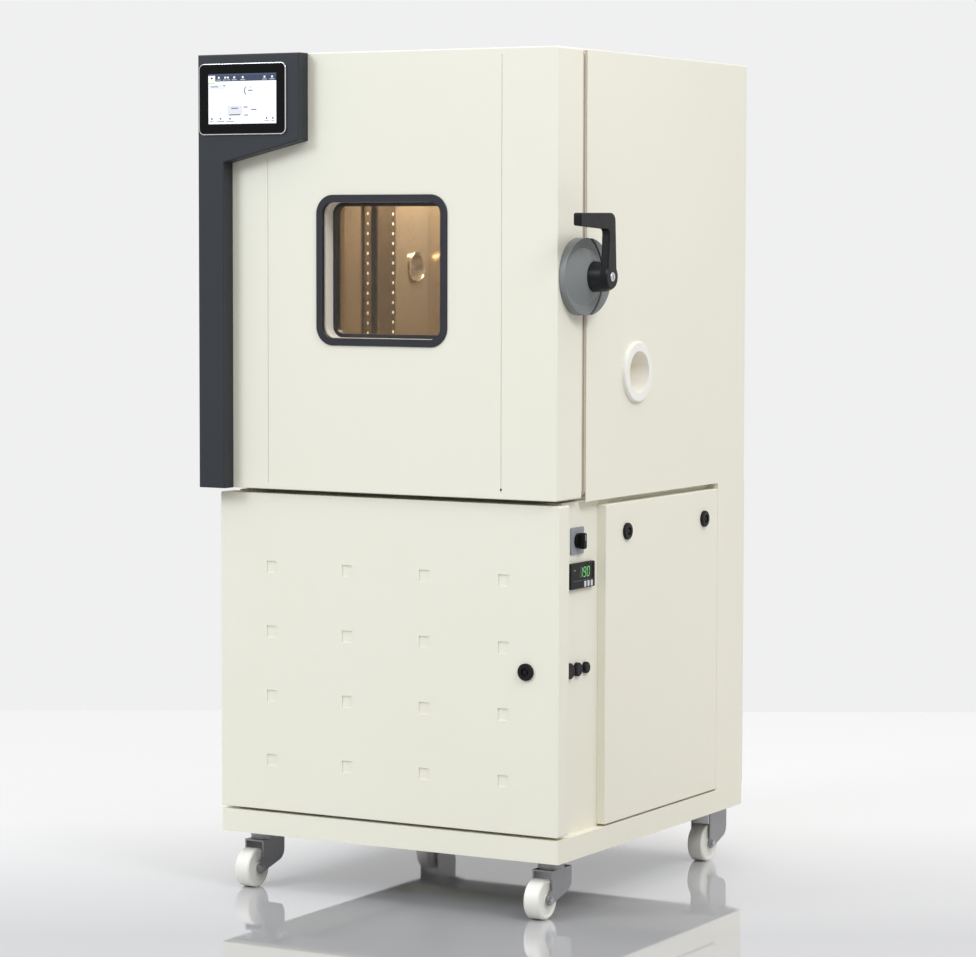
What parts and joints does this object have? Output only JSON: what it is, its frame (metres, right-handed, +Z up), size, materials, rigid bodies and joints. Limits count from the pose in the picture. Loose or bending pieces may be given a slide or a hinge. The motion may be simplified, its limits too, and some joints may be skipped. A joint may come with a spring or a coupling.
{
  "type": "environmental test chamber",
  "caption": "Upright test chamber on castors: insulated test space with a windowed swing door and touch column, over a machine cabinet with lift-off panels.",
  "frame": {"origin": "middle of the bounding box, on the floor under the wheels", "axes": "+Z up, front of the door towards -Y, +X to the right when facing the door"},
  "size_m": [0.8414, 0.8756, 1.612],
  "materials": {
    "cream_paint": "fine textured powder coat",
    "anthracite": "satin",
    "steel_sheet": "brushed",
    "zinc": "satin zinc",
    "black_plastic": "fine grain",
    "grey_plastic": "fine grain",
    "white_plastic": "satin",
    "wheel_nylon": "satin nylon",
    "seal_rubber": "matt silicone",
    "foam": "rigid foam",
    "clear_glass": "clear",
    "screen_glass": "gloss",
    "dark_frame": "matt",
    "key_plastic": "satin",
    "compressor_black": "gloss",
    "fin_aluminium": "mill",
    "silver": "satin chrome"
  },
  "bodies": {
    "cabinet": {"base_tray": "cream_paint", "caster_plates": "zinc", "rear_caster_forks": "zinc", "lower_frame": "cream_paint", "recess_strips": "cream_paint", "rear_panel": "cream_paint", "cable_gland": "black_plastic", "switch_plate": "grey_plastic", "limit_controller": "black_plastic", "blanking_plugs": "black_plastic", "upper_casing": "cream_paint", "body_insulation": "foam", "chamber_liner": "steel_sheet", "door_seal": "seal_rubber", "right_cable_port": "white_plastic", "left_cable_port": "white_plastic", "air_baffle": "steel_sheet", "fan_motor": "compressor_black", "evaporator": "fin_aluminium", "shelf_rails": "steel_sheet", "wire_shelf": "steel_sheet", "cabinet_hinges": "zinc", "closer_keeper": "grey_plastic", "compressor": "compressor_black", "condenser": "fin_aluminium", "electrical_box": "zinc", "liquid_receiver": "compressor_black", "left_side_panel": "cream_paint"},
    "door": {"door_shell": "cream_paint", "door_insulation": "foam", "door_liner": "steel_sheet", "window_frame": "anthracite", "window_tunnel": "cream_paint", "window_inner_frame": "dark_frame", "window_panes": "clear_glass", "control_column": "anthracite", "display_unit": "black_plastic", "display_glass": "screen_glass", "door_hinge_leaves": "zinc", "closer_plate": "grey_plastic"},
    "lever": {"door_lever": "black_plastic", "latch_hook": "zinc"},
    "lever_lock": {"lever_lock": "silver"},
    "front_panel": {"front_panel": "cream_paint"},
    "front_panel_lock": {"front_panel_lock": "black_plastic"},
    "side_panel": {"right_side_panel": "cream_paint"},
    "side_lock_front": {"side_lock_front": "black_plastic"},
    "side_lock_rear": {"side_lock_rear": "black_plastic"},
    "main_switch": {"switch_knob": "black_plastic"},
    "key_down": {"controller_key_down": "key_plastic"},
    "key_up": {"controller_key_up": "key_plastic"},
    "key_set": {"controller_key_set": "key_plastic"},
    "left_swivel": {"left_caster_fork": "zinc"},
    "right_swivel": {"right_caster_fork": "zinc"},
    "front_left_wheel": {"front_left_wheel": "wheel_nylon"},
    "front_right_wheel": {"front_right_wheel": "wheel_nylon"},
    "rear_left_wheel": {"rear_left_wheel": "wheel_nylon"},
    "rear_right_wheel": {"rear_right_wheel": "wheel_nylon"},
    "circulation_fan": {"circulation_fan": "black_plastic"},
    "condenser_fan": {"condenser_fan": "black_plastic"}
  },
  "joints": [
    {"name": "door_hinge", "type": "hinge", "parent": "cabinet", "child": "door", "pos_m": [-0.40975, -0.2832, 1.1], "axis": [0, 0, -1], "range_deg": [0, 110]},
    {"name": "lever_turn", "type": "hinge", "parent": "door", "child": "lever", "pos_m": [0.38575, -0.3133, 1.1939], "axis": [1, 0, 0], "range_deg": [0, 90]},
    {"name": "lever_lock_turn", "type": "hinge", "parent": "lever", "child": "lever_lock", "pos_m": [0.41925, -0.3133, 1.1939], "axis": [1, 0, 0], "range_deg": [0, 90]},
    {"name": "front_panel_hinge", "type": "hinge", "parent": "cabinet", "child": "front_panel", "pos_m": [-0.38975, -0.3282, 0.45], "axis": [0, 0, -1], "range_deg": [0, 110]},
    {"name": "front_panel_lock_turn", "type": "hinge", "parent": "front_panel", "child": "front_panel_lock", "pos_m": [0.27725, -0.3782, 0.4645], "axis": [0, 1, 0], "range_deg": [0, 90]},
    {"name": "side_panel_lift_off", "type": "slide", "parent": "cabinet", "child": "side_panel", "axis": [1, 0, 0], "range_m": [0, 0.15]},
    {"name": "side_lock_front_turn", "type": "hinge", "parent": "side_panel", "child": "side_lock_front", "pos_m": [0.34575, -0.1072, 0.709], "axis": [1, 0, 0], "range_deg": [0, 90]},
    {"name": "side_lock_rear_turn", "type": "hinge", "parent": "side_panel", "child": "side_lock_rear", "pos_m": [0.34575, 0.2288, 0.709], "axis": [1, 0, 0], "range_deg": [0, 90]},
    {"name": "main_switch_turn", "type": "hinge", "parent": "cabinet", "child": "main_switch", "pos_m": [0.33075, -0.2777, 0.703], "axis": [1, 0, 0], "range_deg": [0, 90]},
    {"name": "key_down_press", "type": "slide", "parent": "cabinet", "child": "key_down", "axis": [-1, 0, 0], "range_m": [0, 0.001], "stiffness_N_per_m": 400},
    {"name": "key_up_press", "type": "slide", "parent": "cabinet", "child": "key_up", "axis": [-1, 0, 0], "range_m": [0, 0.001], "stiffness_N_per_m": 400},
    {"name": "key_set_press", "type": "slide", "parent": "cabinet", "child": "key_set", "axis": [-1, 0, 0], "range_m": [0, 0.001], "stiffness_N_per_m": 400},
    {"name": "left_caster_swivel", "type": "hinge", "parent": "cabinet", "child": "left_swivel", "pos_m": [-0.34725, -0.3082, 0.1], "axis": [0, 0, 1], "continuous": true},
    {"name": "right_caster_swivel", "type": "hinge", "parent": "cabinet", "child": "right_swivel", "pos_m": [0.29375, -0.3082, 0.1], "axis": [0, 0, 1], "continuous": true},
    {"name": "front_left_wheel_spin", "type": "hinge", "parent": "left_swivel", "child": "front_left_wheel", "pos_m": [-0.34725, -0.3512, 0.0375], "axis": [1, 0, 0], "continuous": true},
    {"name": "front_right_wheel_spin", "type": "hinge", "parent": "right_swivel", "child": "front_right_wheel", "pos_m": [0.29375, -0.3512, 0.0375], "axis": [1, 0, 0], "continuous": true},
    {"name": "rear_left_wheel_spin", "type": "hinge", "parent": "cabinet", "child": "rear_left_wheel", "pos_m": [-0.34725, 0.3408, 0.0375], "axis": [1, 0, 0], "continuous": true},
    {"name": "rear_right_wheel_spin", "type": "hinge", "parent": "cabinet", "child": "rear_right_wheel", "pos_m": [0.29375, 0.3408, 0.0375], "axis": [1, 0, 0], "continuous": true},
    {"name": "circulation_fan_spin", "type": "hinge", "parent": "cabinet", "child": "circulation_fan", "pos_m": [-0.02675, 0.2973, 1.34], "axis": [0, 1, 0], "continuous": true},
    {"name": "condenser_fan_spin", "type": "hinge", "parent": "cabinet", "child": "condenser_fan", "pos_m": [0.07825, 0.3228, 0.349], "axis": [0, 1, 0], "continuous": true}
  ]
}
